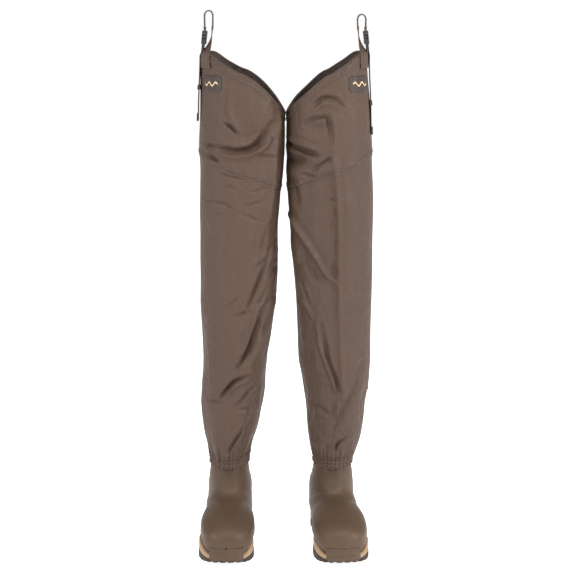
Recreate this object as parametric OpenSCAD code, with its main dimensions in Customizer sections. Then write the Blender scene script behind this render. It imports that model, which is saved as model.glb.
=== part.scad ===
// A pair of hip waders: insulated rubber boots with fabric legs, a belt loop and a
// side-release buckle at each hip. The toes point to -Y and the pair stands on Z = 0.
// Each leg is drawn with +X outwards; the wearer's right leg is the mirrored one.

/* [Leg] */
// Height of the hem at the hip
hip_h = 960; // [955:1:965]
// Height of the hem at the crotch
crotch_h = 848; // [840:1:856]
// Extra height of the hem halfway round
hem_bow = 22; // [10:1:26]
// Mean height of the seam above the knee
knee_seam_h = 742; // [720:1:760]
// Rise of that seam from the middle to the outer side
knee_seam_rise = 34; // [10:1:40]
// Bottom of the gathered ankle cuff
cuff_h = 150; // [148:1:154]
// Height of the cuff
cuff_w = 22; // [18:1:24]
// Thickness of the laminated fabric with its lining
fabric = 2.2; // [1.6:0.1:2.6]
// Distance of the leg's middle behind the middle of the foot
leg_back = 59; // [50:0.5:62]

/* [Boot] */
// Toe-out of the wearer's left foot and right foot, degrees
toe_out = [4.5, 0]; // [0:1:12]
// Thickness of the rubber outsole with its lugs
outsole_t = 15; // [13:1:17]
// Depth of the lugs
lug_depth = 4; // [3:0.5:5]
// Thickness of the tan midsole
midsole_t = 18; // [14:1:20]
// Thickness of the rubber upper
rubber = 3; // [2.5:0.1:3.4]
// Thickness of the insulated liner
liner = 4; // [3:0.1:5]

/* [Strap] */
// Height of the top of the belt loop, wearer's left and right
loop_top = [1035, 1042]; // [1032:1:1044]
// Width of the webbing
web_w = 25; // [22:1:26]
// Thickness of the webbing
web_t = 1.6; // [1.2:0.1:2]
// Height of the strap's fold line, just over the hem
fold_h = 962; // [962:1:964]
// Lean of the buckle towards the body, degrees
buckle_lean = 6; // [3:1:8]
// Lower end of the loose tail, wearer's left and right
tail_end = [808, 834]; // [800:1:850]

/* [Hidden] */
SIDES = ["left", "right"];
PIECES = [
  "outsole", "midsole", "toe_guard", "heel_counter", "boot_upper", "shank", "insole_board",
  "footbed", "boot_liner", "shaft_seal", "lower_leg", "thigh_panel", "knee_seam",
  "ankle_cuff", "ankle_elastic", "hem_band", "hem_facing", "badge", "badge_mark",
  "hip_patch", "hip_tab", "belt_loop", "buckle_socket", "buckle_clip", "front_prong",
  "rear_prong", "anchor_web", "strap_tail", "tail_keeper"
];
brown = [0.36, 0.29, 0.25];
dark = [0.20, 0.16, 0.14];
boot_brown = [0.33, 0.27, 0.21];
tan = [0.60, 0.49, 0.38];
AROUND = 24;
recentre = [1.19, 0.9];

// The leg's half width, the place of its middle and its half depth, by height.
LEFT_HALF = [[150, 38], [168, 41], [189, 47], [231, 54], [272, 57], [313, 64], [354, 69],
  [405, 70.5], [476, 73.4], [557, 76.2], [637, 79.4], [676, 80.8], [735, 80.5], [836, 79.2],
  [960, 79]];
RIGHT_HALF = [[150, 38], [168, 40], [189, 44.5], [210, 52], [231, 57], [272, 61], [334, 60],
  [375, 62.4], [415, 67], [476, 73], [557, 73.3], [637, 74], [676, 76.5], [735, 79.6],
  [774, 81.5], [836, 81], [960, 80.5]];
LEFT_MID = [[150, 93.5], [189, 95], [251, 98], [313, 98], [354, 95.2], [476, 93], [557, 91.5],
  [637, 89], [735, 83.5], [836, 81.5], [960, 76.5]];
RIGHT_MID = [[150, 113.5], [210, 112], [272, 108.7], [334, 103.3], [415, 96.6], [557, 93],
  [637, 91.5], [735, 86.2], [836, 84.5], [960, 80]];
HALF_DEPTH = [[150, 59.5], [168, 61], [189, 64], [231, 69], [313, 75], [405, 79], [476, 82],
  [637, 89], [735, 94], [836, 96], [960, 95]];

function half(side, z) = lookup(z, side > 0 ? LEFT_HALF : RIGHT_HALF);
function middle(side, z) = lookup(z, side > 0 ? LEFT_MID : RIGHT_MID);
function pick(side, pair) = side > 0 ? pair[0] : pair[1];

// A point on the leg: angle 0 is the outer side, 90 the back, 180 the crotch, 270 the front.
// The section is squarer at the thigh than at the ankle.
function squared(value, power) = sign(value) * pow(abs(value), power);
function on_leg(side, z, angle, out) = let (power = lookup(z, [[200, 1], [700, 0.8]])) [
  middle(side, z) + (half(side, z) + out) * squared(cos(angle), power),
  leg_back + (lookup(z, HALF_DEPTH) + out) * squared(sin(angle), power),
  z
];
function hem_z(angle) = (hip_h + crotch_h) / 2 + (hip_h - crotch_h) / 2 * cos(angle)
  + hem_bow * pow(sin(angle), 2);
function seam_z(angle) = knee_seam_h + knee_seam_rise * cos(angle);

module mirrored(side) {
  if (side > 0) children();
  else mirror([1, 0, 0]) children();
}

// A closed wall between two grids of the same size, closed round each ring.
function grid_id(wall, k, i, n, m) = (wall * (m + 1) + k) * n + i % n;
function quad(a, b, c, d) = [[a, b, c], [a, c, d]];
module walled(outer, inner, capped = false) {
  m = len(outer) - 1;
  n = len(outer[0]);
  faces = [
    for (k = [0:m - 1], i = [0:n - 1]) each quad(grid_id(0, k, i, n, m),
      grid_id(0, k + 1, i, n, m), grid_id(0, k + 1, i + 1, n, m), grid_id(0, k, i + 1, n, m)),
    for (k = [0:m - 1], i = [0:n - 1]) each quad(grid_id(1, k, i, n, m),
      grid_id(1, k, i + 1, n, m), grid_id(1, k + 1, i + 1, n, m), grid_id(1, k + 1, i, n, m)),
    for (i = [0:n - 1]) each quad(grid_id(0, m, i, n, m), grid_id(1, m, i, n, m),
      grid_id(1, m, i + 1, n, m), grid_id(0, m, i + 1, n, m)),
    if (!capped) for (i = [0:n - 1]) each quad(grid_id(0, 0, i, n, m),
      grid_id(0, 0, i + 1, n, m), grid_id(1, 0, i + 1, n, m), grid_id(1, 0, i, n, m)),
    if (capped) for (i = [1:n - 2]) [grid_id(0, 0, 0, n, m), grid_id(0, 0, i, n, m),
      grid_id(0, 0, i + 1, n, m)],
    if (capped) for (i = [1:n - 2]) [grid_id(1, 0, 0, n, m), grid_id(1, 0, i + 1, n, m),
      grid_id(1, 0, i, n, m)]
  ];
  polyhedron(points = concat([for (r = outer) each r], [for (r = inner) each r]),
    faces = faces, convexity = 6);
}

// A sleeve on the leg between two edges; edge kinds are heights or curves round the leg.
function edge_z(kind, angle) = kind == "hem" ? hem_z(angle) : kind == "seam" ? seam_z(angle) : kind;
function leg_grid(side, low, high, drop, rings, out) = [
  for (k = [0:rings]) [
    for (i = [0:AROUND - 1])
      let (angle = 360 * i / AROUND, z0 = edge_z(low, angle) + drop[0],
        z1 = edge_z(high, angle) + drop[1], share = k / rings)
      on_leg(side, z0 + (z1 - z0) * share, angle, out)
  ]
];
module sleeve(side, low, high, drop, rings, inner, outer) {
  walled(leg_grid(side, low, high, drop, rings, outer),
    leg_grid(side, low, high, drop, rings, inner));
}

// ---- Boot ----
// The foot's frame has its origin under the ankle, with the toe at -Y.
SOLE_OUT = [[-215, 0], [-211, 22], [-200, 37], [-180, 49], [-150, 56], [-120, 57], [-80, 51],
  [-40, 45], [0, 43], [40, 43], [65, 38], [79, 24], [85, 0]];
SOLE_IN = [[-215, 0], [-211, 24], [-200, 38], [-180, 47], [-150, 52], [-120, 51], [-80, 44],
  [-40, 39], [0, 39], [40, 41], [65, 36], [79, 23], [85, 0]];
module sole_shape(inset = 0) {
  points = concat([for (p = SOLE_OUT) [p[1], p[0] + 65]],
    [for (k = [len(SOLE_IN) - 2:-1:1]) [-SOLE_IN[k][1], SOLE_IN[k][0] + 65]]);
  translate([0, -65]) scale([1 - inset / 57, 1 - inset / 150]) polygon(points);
}

// The boot's sections: upright ones along the foot, then a fan round the instep, then the shaft.
pivot = [-82, 120];
sole_top = outsole_t + midsole_t;
FOREFOOT = [[-210.5, 57, 12], [-206, 63, 25], [-194, 73, 36], [-176, 81, 44], [-150, 87, 48.5],
  [-120, 91, 49], [-98, 93, 47]];
FAN = [[90, 26, 90, 45], [75, 27, 94, 43], [60, 28.5, 104, 42], [47, 30, 123, 42],
  [38, 30, 147, 42], [30, 30, 173, 40], [23, 30, 175, 40], [15, 30, 168, 40], [7, 30, 155, 39]];
SHAFT = [[120, -51, 58, 37], [135, -51, 56, 36], [150, -50, 55, 34.6], [165, -50, 55, 33.8],
  [190, -53, 58, 36], [215, -57, 61, 40]];
BOOT_AROUND = 20;

// One closed section between a near point and a far point, with squarer corners at the sole.
function section(near, far, wide, square) = [
  for (i = [0:BOOT_AROUND - 1])
    let (angle = 360 * i / BOOT_AROUND, c = cos(angle), s = sin(angle),
      power = s > 0 ? square : 1,
      across = sign(c) * pow(abs(c), power), along = sign(s) * pow(abs(s), power),
      mid = (near + far) / 2, reach = (far - near) / 2)
    [across * wide, mid[0] + along * reach[0], mid[1] + along * reach[1]]
];
// A section drawn in by a wall's thickness, or out by a negative one.
function boot_section(near, far, wide, square, by) =
  let (long = norm(far - near), step = (far - near) / long * min(by, 0.35 * long))
  section(near + step, far - step, max(wide - by, 0.4 * wide), square);
function shaft_grid(by, first) = [
  for (k = [first:len(SHAFT) - 1]) let (r = SHAFT[k])
    boot_section([r[1], r[0]], [r[2], r[0]], r[3], 1, by)
];
toe_zone = -205;
function boot_grid(by) = concat(
  [for (r = FOREFOOT) let (y = r[0] + (r[0] < toe_zone ? by : 0))
    boot_section([y, r[1]], [y, sole_top], r[2], 0.4, by)],
  [for (r = FAN) boot_section(
    [pivot[0] + r[1] * cos(r[0]), pivot[1] - r[1] * sin(r[0])],
    [pivot[0] + r[2] * cos(r[0]), max(pivot[1] - r[2] * sin(r[0]), sole_top)], r[3], 0.5, by)],
  shaft_grid(by, 0));

module on_foot(side) {
  translate([middle(side, 150), leg_back, 0]) rotate([0, 0, pick(side, toe_out)]) children();
}

module outsole(side) {
  color(dark) on_foot(side) difference() {
    linear_extrude(outsole_t) sole_shape();
    for (k = [0:16]) if (k != 9 && k != 10)
      translate([-70, -205 + k * 17, -1]) cube([140, 5, lug_depth + 1]);
    translate([-3, -190, -1]) cube([6, 130, lug_depth + 1]);
    translate([-70, -47, -1]) cube([140, 24, lug_depth + 1]);
  }
}
module midsole(side) {
  color(tan) on_foot(side) difference() {
    translate([0, 0, outsole_t]) linear_extrude(midsole_t) sole_shape(3);
    translate([-7.2, -92, sole_top - 2.2]) cube([14.4, 122, 3]);
  }
}
module shank(side) {
  color("silver") on_foot(side) translate([-7, -91.8, sole_top - 2]) cube([14, 121.6, 2]);
}
module toe_guard(side) {
  color(boot_brown) on_foot(side) difference() {
    union() {
      translate([0, 0, outsole_t]) linear_extrude(25) sole_shape();
      for (k = [0:2]) translate([0, 0, outsole_t + 5 + 7 * k]) linear_extrude(3.4) sole_shape(-1.2);
    }
    translate([0, 0, outsole_t - 1]) linear_extrude(30) sole_shape(2.6);
    translate([-100, -186, 0]) cube([200, 400, 100]);
    translate([0, 0, sole_top]) linear_extrude(30) sole_shape(2);
  }
}
module heel_counter(side) {
  wall = 2.4;
  color(boot_brown) on_foot(side) difference() {
    translate([0, 0, outsole_t]) linear_extrude(midsole_t) sole_shape();
    translate([0, 0, outsole_t - 1]) linear_extrude(30) sole_shape(wall + 0.2);
    translate([-100, -300, 0]) cube([200, 345, 100]);
  }
}
module boot_upper(side) {
  color(boot_brown) on_foot(side)
    walled(boot_grid(0), boot_grid(rubber), capped = true);
}
module boot_liner(side) {
  color("dimgray") on_foot(side)
    walled(boot_grid(rubber + 0.3), boot_grid(rubber + liner), capped = true);
}
module board_shape() {
  translate([0, -66]) scale([0.47, 0.69]) translate([0, 65]) sole_shape();
}
module insole_board(side) {
  color("peru") on_foot(side) translate([0, 0, sole_top + rubber + liner + 1])
    linear_extrude(2) board_shape();
}
module footbed(side) {
  color("dimgray") on_foot(side) translate([0, 0, sole_top + rubber + liner + 3])
    linear_extrude(4) board_shape();
}

// ---- Fabric leg ----
// A cone of fabric joins the outside of the boot's shaft to the inside of the leg.
function from_foot(side, p) = let (a = pick(side, toe_out))
  [middle(side, 150) + p[0] * cos(a) - p[1] * sin(a), leg_back + p[0] * sin(a) + p[1] * cos(a), p[2]];
function seal_grid(side, out) = concat(
  [for (ring = shaft_grid(-0.2 - out, len(SHAFT) - 2)) [for (p = ring) from_foot(side, p)]],
  [[for (i = [0:BOOT_AROUND - 1])
    on_leg(side, 240, 360 * i / BOOT_AROUND, out - fabric - 2.8)]]);
module shaft_seal(side) {
  color(dark) walled(seal_grid(side, 1.2), seal_grid(side, 0));
}
module lower_leg(side) {
  color(brown) sleeve(side, cuff_h + cuff_w, "seam", [0, 0], 14, -fabric, 0);
}
module thigh_panel(side) {
  color(brown) sleeve(side, "seam", "hem", [0.2, 0], 6, -fabric, 0);
}
module knee_seam(side) {
  color(dark) sleeve(side, "seam", "seam", [-5, 5], 1, 0.1, 1.1);
}
module ankle_cuff(side) {
  color(brown) sleeve(side, cuff_h, cuff_h + cuff_w, [0, -0.2], 2, -1.2, 0);
}
module ankle_elastic(side) {
  color("black") sleeve(side, cuff_h + 4, cuff_h + 16, [0, 0], 1, -2.3, -1.3);
}
module hem_band(side) {
  color(brown) sleeve(side, "hem", "hem", [-17, -0.5], 1, 0.1, 1);
}
module hem_facing(side) {
  color(dark) sleeve(side, "hem", "hem", [-26, -0.5], 1, -fabric - 1.1, -fabric - 0.1);
}

// ---- Patches that lie on the leg ----
// A closed solid between two open grids of the same size.
module slab(outer, inner) {
  m = len(outer) - 1;
  n = len(outer[0]) - 1;
  function id(wall, k, i) = (wall * (m + 1) + k) * (n + 1) + i;
  faces = [
    for (k = [0:m - 1], i = [0:n - 1])
      each quad(id(0, k, i), id(0, k + 1, i), id(0, k + 1, i + 1), id(0, k, i + 1)),
    for (k = [0:m - 1], i = [0:n - 1])
      each quad(id(1, k, i), id(1, k, i + 1), id(1, k + 1, i + 1), id(1, k + 1, i)),
    for (i = [0:n - 1]) each quad(id(0, 0, i), id(0, 0, i + 1), id(1, 0, i + 1), id(1, 0, i)),
    for (i = [0:n - 1]) each quad(id(0, m, i), id(1, m, i), id(1, m, i + 1), id(0, m, i + 1)),
    for (k = [0:m - 1]) each quad(id(0, k + 1, 0), id(0, k, 0), id(1, k, 0), id(1, k + 1, 0)),
    for (k = [0:m - 1]) each quad(id(0, k, n), id(0, k + 1, n), id(1, k + 1, n), id(1, k, n))
  ];
  polyhedron(points = concat([for (r = outer) each r], [for (r = inner) each r]),
    faces = faces, convexity = 4);
}
// A patch between two angles and two heights, from one depth over the fabric to another.
function patch_grid(side, low, high, from, to, out) = [
  for (k = [0:3]) [
    for (i = [0:6])
      let (angle = from + (to - from) * i / 6, z0 = edge_z(low[0], angle) + low[1],
        z1 = edge_z(high[0], angle) + high[1])
      on_leg(side, z0 + (z1 - z0) * k / 3, angle, out)
  ]
];
module patch(side, low, high, from, to, inner, outer) {
  slab(patch_grid(side, low, high, from, to, outer), patch_grid(side, low, high, from, to, inner));
}
badge_angles = [-66, -27];
badge_mid = 907;
module badge(side) {
  color(dark) patch(side, [badge_mid - 15, 0], [badge_mid + 15, 0],
    badge_angles[0], badge_angles[1], 0.1, 1.7);
}
// The mark on the badge is one plain wave.
function wave_grid(side, out) = [
  for (k = [0:1]) [
    for (i = [0:12])
      let (angle = badge_angles[0] + 6 + (badge_angles[1] - badge_angles[0] - 12) * i / 12)
      on_leg(side, badge_mid + 5 * sin(60 * i) + (k - 0.5) * 4.5, angle, out)
  ]
];
module badge_mark(side) {
  color(tan) slab(wave_grid(side, 2.3), wave_grid(side, 1.75));
}
tab_angles = [-44, -13];
module hip_patch(side) {
  color(brown) patch(side, ["hem", -24], [fold_h - 0.4, 0], tab_angles[0] - 3, tab_angles[1] + 3,
    1.1, 2);
}

// ---- Strap and buckle ----
strap_y = 33;
strap_x = [154.5, 157.5];
tab_top = 1012.5;
TAB_ROWS = 6;
// Each row of the tab runs between its front and back edge, and turns as it rises.
function tab_edge(side, share, back) =
  let (low = on_leg(side, fold_h + 0.4, tab_angles[back], 0.4),
    high = [pick(side, strap_x) - 16.5, strap_y + (back - 0.5) * web_w, tab_top],
    ease = 1 - pow(1 - share, 3.2))
  [low[0] + (high[0] - low[0]) * ease, low[1] + (high[1] - low[1]) * ease,
    low[2] + (high[2] - low[2]) * share];
function tab_grid(side, out) = [
  for (k = [0:TAB_ROWS]) let (share = k / TAB_ROWS) [
    for (i = [0:3])
      let (a = tab_edge(side, share, 0), b = tab_edge(side, share, 1), run = b - a,
        across = [run[1], -run[0], 0] / norm([run[0], run[1]]))
      a + run * i / 3 + across * out
  ]
];
module hip_tab(side) {
  color(brown) slab(tab_grid(side, web_t / 2), tab_grid(side, -web_t / 2));
}

// A strip of webbing: a thick line in the XZ plane, as wide as the webbing in Y.
function side_step(line, k) =
  let (a = line[max(k - 1, 0)], b = line[min(k + 1, len(line) - 1)], run = b - a)
  [run[1], -run[0]] / norm(run);
function thick_line(line, t) = concat(
  [for (k = [0:len(line) - 1]) line[k] + side_step(line, k) * t / 2],
  [for (k = [len(line) - 1:-1:0]) line[k] - side_step(line, k) * t / 2]);
module strip(line, t = web_t, w = web_w) {
  translate([0, strap_y + w / 2, 0]) rotate([90, 0, 0]) linear_extrude(w)
    polygon(thick_line(line, t));
}
module belt_loop(side) {
  x = pick(side, strap_x);
  top = pick(side, loop_top);
  line = concat([[x - 3.9, 1004.2], [x - 3, 1015]],
    [for (a = [0:15:180]) [x - 10 + 6.5 * cos(a), top - 9.8 + 9 * sin(a)]],
    [[x - 16.5, tab_top + 0.4]]);
  color(dark) strip(line);
}
module at_buckle(side) {
  translate([pick(side, strap_x), strap_y, fold_h + 4]) rotate([0, -buckle_lean, 0]) children();
}
module box_between(low, high) {
  translate(low) cube(high - low);
}
// The clip's base holds the webbing in two slots, and its tongue guides it into the socket.
module buckle_clip(side) {
  color(dark) at_buckle(side) difference() {
    union() {
      box_between([-1.6, -15.5, 0], [3, 15.5, 13]);
      box_between([-1.4, -3, 12], [1.4, 3, 29]);
    }
    box_between([-4, -13, 2.6], [4, 13, 5.6]);
    box_between([-4, -13, 7.8], [4, 13, 10.8]);
  }
}
// A sprung prong, drawn for the rear; its shoulder catches in the socket's window.
prong_root = [9.6, 15];
module prong() {
  rotate([90, 0, 90]) translate([0, 0, -2.2]) linear_extrude(4.4) union() {
    translate(prong_root) circle(r = 1.6, $fn = 24);
    polygon([[8.1, 15], [11.1, 15], [11.3, 23.6], [15.2, 24.2], [15.2, 27.5], [12.6, 31],
      [9.6, 31], [8.1, 27]]);
  }
}
module rear_prong(side) {
  color(dark) at_buckle(side) prong();
}
module front_prong(side) {
  color(dark) at_buckle(side) mirror([0, 1, 0]) prong();
}
module buckle_socket(side) {
  color(dark) at_buckle(side) difference() {
    box_between([-4.5, -16, 13.6], [4.5, 16, 38]);
    box_between([-2.8, -12, 13], [2.8, 12, 32]);
    for (end = [0, 1]) mirror([0, end, 0]) box_between([-2.8, 11, 23], [2.8, 17, 31.4]);
    box_between([-5, -13, 33.6], [5, 13, 36.2]);
  }
}
module anchor_web(side) {
  x = pick(side, strap_x);
  color(dark) strip([[x + 3.8, fold_h + 0.5], [x + 1.6, fold_h + 3]]);
}
// The loose end hangs straight down the outside of the thigh, clear of the fabric.
tail_top = fold_h - 1;
tail_in = [158, 163.2];
tail_slope = 0.04;
function tail_x(side, z) = pick(side, tail_in) + (tail_top - z) * tail_slope;
module strap_tail(side) {
  low = pick(side, tail_end);
  color(dark) {
    strip([[tail_x(side, low), low], [tail_x(side, tail_top), tail_top]]);
    translate([web_t - 0.1, 0, 0])
      strip([[tail_x(side, low), low], [tail_x(side, low + 14), low + 14]]);
  }
}
keeper_z = [868, 898];
module tail_keeper(side) {
  z = pick(side, keeper_z);
  color("black") translate([tail_x(side, z), strap_y, z])
    rotate([0, -atan(tail_slope), 0]) difference() {
      box_between([-2.2, -15.5, -4], [2.6, 15.5, 4]);
      box_between([-1.1, -13, -5], [1.1, 13, 5]);
    }
}

module piece(side, name) {
  if (name == "outsole") outsole(side);
  if (name == "midsole") midsole(side);
  if (name == "toe_guard") toe_guard(side);
  if (name == "heel_counter") heel_counter(side);
  if (name == "boot_upper") boot_upper(side);
  if (name == "shank") shank(side);
  if (name == "insole_board") insole_board(side);
  if (name == "footbed") footbed(side);
  if (name == "boot_liner") boot_liner(side);
  if (name == "shaft_seal") shaft_seal(side);
  if (name == "lower_leg") lower_leg(side);
  if (name == "thigh_panel") thigh_panel(side);
  if (name == "knee_seam") knee_seam(side);
  if (name == "ankle_cuff") ankle_cuff(side);
  if (name == "ankle_elastic") ankle_elastic(side);
  if (name == "hem_band") hem_band(side);
  if (name == "hem_facing") hem_facing(side);
  if (name == "badge") badge(side);
  if (name == "badge_mark") badge_mark(side);
  if (name == "hip_patch") hip_patch(side);
  if (name == "hip_tab") hip_tab(side);
  if (name == "belt_loop") belt_loop(side);
  if (name == "buckle_socket") buckle_socket(side);
  if (name == "buckle_clip") buckle_clip(side);
  if (name == "front_prong") front_prong(side);
  if (name == "rear_prong") rear_prong(side);
  if (name == "anchor_web") anchor_web(side);
  if (name == "strap_tail") strap_tail(side);
  if (name == "tail_keeper") tail_keeper(side);
}
for (s = [0, 1], p = PIECES)
  translate([recentre[0], recentre[1], 0]) mirrored(1 - 2 * s) piece(1 - 2 * s, p);
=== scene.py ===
"""A pair of hip waders: fabric legs gathered onto rubber boots, with a strap at each hip."""
import bpy
import math
import numpy as np
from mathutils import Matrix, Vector


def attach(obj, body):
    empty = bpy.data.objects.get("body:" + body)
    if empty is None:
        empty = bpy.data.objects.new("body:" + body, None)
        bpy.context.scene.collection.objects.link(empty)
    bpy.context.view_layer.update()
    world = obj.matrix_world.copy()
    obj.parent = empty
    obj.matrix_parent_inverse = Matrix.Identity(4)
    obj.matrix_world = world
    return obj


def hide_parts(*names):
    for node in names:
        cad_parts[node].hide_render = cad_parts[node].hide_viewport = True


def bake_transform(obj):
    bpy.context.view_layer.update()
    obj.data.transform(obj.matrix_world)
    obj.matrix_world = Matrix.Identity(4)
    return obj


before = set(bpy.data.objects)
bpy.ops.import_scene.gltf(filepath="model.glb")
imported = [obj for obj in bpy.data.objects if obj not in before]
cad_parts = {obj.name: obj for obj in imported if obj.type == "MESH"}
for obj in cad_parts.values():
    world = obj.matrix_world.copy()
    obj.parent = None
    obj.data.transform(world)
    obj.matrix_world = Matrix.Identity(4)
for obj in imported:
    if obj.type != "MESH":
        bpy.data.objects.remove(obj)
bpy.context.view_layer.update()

# ---------------------------------------------------------------- profiles, in mm
SHIFT = (1.19, 0.9)
LEG_BACK = 59.0
HIP, CROTCH, BOW = 960.0, 848.0, 22.0
SEAM, SEAM_RISE = 742.0, 34.0
CUFF = 150.0
TOE_OUT = {"left": 4.5, "right": 0.0}
OUTWARD = {"left": 1.0, "right": -1.0}
STRAP_X = {"left": 154.5, "right": 157.5}
STRAP_Y = 33.0
FOLD_H = 962.0
LOOP_TOP = {"left": 1035.0, "right": 1042.0}
TAIL_END = {"left": 808.0, "right": 834.0}
TAIL_IN = {"left": 158.0, "right": 163.2}
# The leg's half width, the place of its middle and its half depth, by height.
LEFT_HALF = [(150, 38), (168, 41), (189, 47), (231, 54), (272, 57), (313, 64), (354, 69),
    (405, 70.5), (476, 73.4), (557, 76.2), (637, 79.4), (676, 80.8), (735, 80.5), (836, 79.2),
    (960, 79)]
RIGHT_HALF = [(150, 38), (168, 40), (189, 44.5), (210, 52), (231, 57), (272, 61), (334, 60),
    (375, 62.4), (415, 67), (476, 73), (557, 73.3), (637, 74), (676, 76.5), (735, 79.6),
    (774, 81.5), (836, 81), (960, 80.5)]
LEFT_MID = [(150, 93.5), (189, 95), (251, 98), (313, 98), (354, 95.2), (476, 93), (557, 91.5),
    (637, 89), (735, 83.5), (836, 81.5), (960, 76.5)]
RIGHT_MID = [(150, 113.5), (210, 112), (272, 108.7), (334, 103.3), (415, 96.6), (557, 93),
    (637, 91.5), (735, 86.2), (836, 84.5), (960, 80)]
HALF_DEPTH = [(150, 59.5), (168, 61), (189, 64), (231, 69), (313, 75), (405, 79), (476, 82),
    (637, 89), (735, 94), (836, 96), (960, 95)]
# The sole's outer and inner side: place along it and half width.
SOLE_OUT = [(-215, 0), (-211, 22), (-200, 37), (-180, 49), (-150, 56), (-120, 57), (-80, 51),
    (-40, 45), (0, 43), (40, 43), (65, 38), (79, 24), (85, 0)]
SOLE_IN = [(-215, 0), (-211, 24), (-200, 38), (-180, 47), (-150, 52), (-120, 51), (-80, 44),
    (-40, 39), (0, 39), (40, 41), (65, 36), (79, 23), (85, 0)]
# The boot's sections: over the toes (place, top, half width), fanned round the instep
# (angle, near and far reach, half width), then up the shaft (height, near, far, half width).
FOREFOOT = [(-206, 63, 25), (-194, 73, 36), (-176, 81, 44), (-150, 87, 48.5), (-120, 91, 49),
    (-98, 93, 47)]
FAN = [(90, 26, 90, 45), (75, 27, 94, 43), (60, 28.5, 104, 42), (47, 30, 123, 42),
    (38, 30, 147, 42), (30, 30, 173, 40), (23, 30, 175, 40), (15, 30, 168, 40), (7, 30, 155, 39)]
SHAFT = [(120, -51, 58, 37), (135, -51, 56, 36), (150, -50, 55, 34.6), (165, -50, 55, 33.8),
    (190, -53, 58, 36), (215, -57, 61, 40)]
HALF = {"left": np.array(LEFT_HALF), "right": np.array(RIGHT_HALF)}
MID = {"left": np.array(LEFT_MID), "right": np.array(RIGHT_MID)}
DEPTH = np.array(HALF_DEPTH)
# Folds of the front: height in mm (minus is a crease), width, and its line as (place
# across the leg from -1 inner to 1 outer, height). The lines were picked by eye, and a
# separate script turned them into places on the leg.
RIGHT_FOLDS = [
    (-5, 4, [(0.4, 834), (0.23, 828), (0.09, 814)]),
    (3, 7, [(0.3, 900), (0.3, 857), (0.07, 820)]),
    (-9, 7, [(0.5, 786), (0.11, 781), (-0.19, 784), (-0.41, 795), (-0.54, 809), (-0.7, 831)]),
    (5, 6, [(0.55, 778), (0.11, 773), (-0.24, 776), (-0.52, 790), (-0.65, 805)]),
    (-6, 20, [(0.02, 803), (-0.49, 818)]),
    (-4, 4, [(0.82, 795), (0.61, 790)]),
    (3, 4, [(0.8, 784), (0.57, 778)]),
    (-5, 4, [(0.75, 774), (0.54, 761)]),
    (-2.5, 3.5, [(0.54, 739), (-0.07, 728)]),
    (-2.5, 3.5, [(0.37, 716), (0.09, 710)]),
    (-2.5, 4, [(0.83, 688), (0.44, 682), (0.07, 669)]),
    (-2.5, 3.5, [(-0.09, 677), (-0.58, 685)]),
    (-2, 3.5, [(0.67, 662), (0.37, 659)]),
    (-2.5, 4, [(-0.08, 662), (-0.63, 645)]),
    (-2, 4, [(-0.16, 703), (-0.59, 708)]),
    (-3, 4, [(-0.29, 777), (-0.75, 769)]),
    (4, 5, [(-0.89, 856), (-0.76, 780), (-0.76, 741), (-0.77, 691), (-0.75, 622), (-0.69, 570)]),
    (-4, 5, [(-0.77, 647), (-0.73, 616), (-0.66, 587)]),
    (-3.5, 3.5, [(-0.78, 576), (-0.51, 556)]),
    (-5.5, 4, [(-0.88, 593), (-0.67, 546), (-0.46, 505), (-0.32, 477)]),
    (4, 5, [(-0.83, 543), (-0.59, 494)]),
    (-4, 4, [(-0.97, 552), (-0.78, 518), (-0.69, 490)]),
    (-8, 5.5, [(-0.91, 490), (-0.71, 462), (-0.52, 425), (-0.41, 396), (-0.24, 372), (-0.07, 354)]),
    (4.5, 6, [(-0.57, 476), (-0.39, 419), (-0.22, 387)]),
    (4.5, 6, [(-0.72, 417), (-0.48, 363)]),
    (-3.5, 4, [(0.06, 461), (-0.37, 470)]),
    (-2.5, 5, [(0.29, 477), (-0.08, 496)]),
    (-6.5, 4, [(-0.44, 340), (-0.07, 335), (0.19, 315), (0.37, 297)]),
    (3.5, 5, [(-0.4, 330), (-0.09, 324), (0.14, 304)]),
    (-4.5, 4, [(-0.78, 320), (-0.45, 307), (-0.17, 282)]),
    (-2.5, 4, [(0.76, 289), (0.3, 288)]),
    (-2.5, 4, [(-0.12, 274), (-0.61, 270)]),
    (-3.5, 3.5, [(-0.81, 316), (-0.76, 289), (-0.86, 272)]),
    (-5.5, 4, [(-0.44, 232), (-0.23, 210), (0.03, 181)]),
    (-4.5, 4, [(-0.66, 241), (-0.5, 192)]),
    (-3, 4, [(-0.6, 272), (-0.54, 245)]),
]
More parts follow.
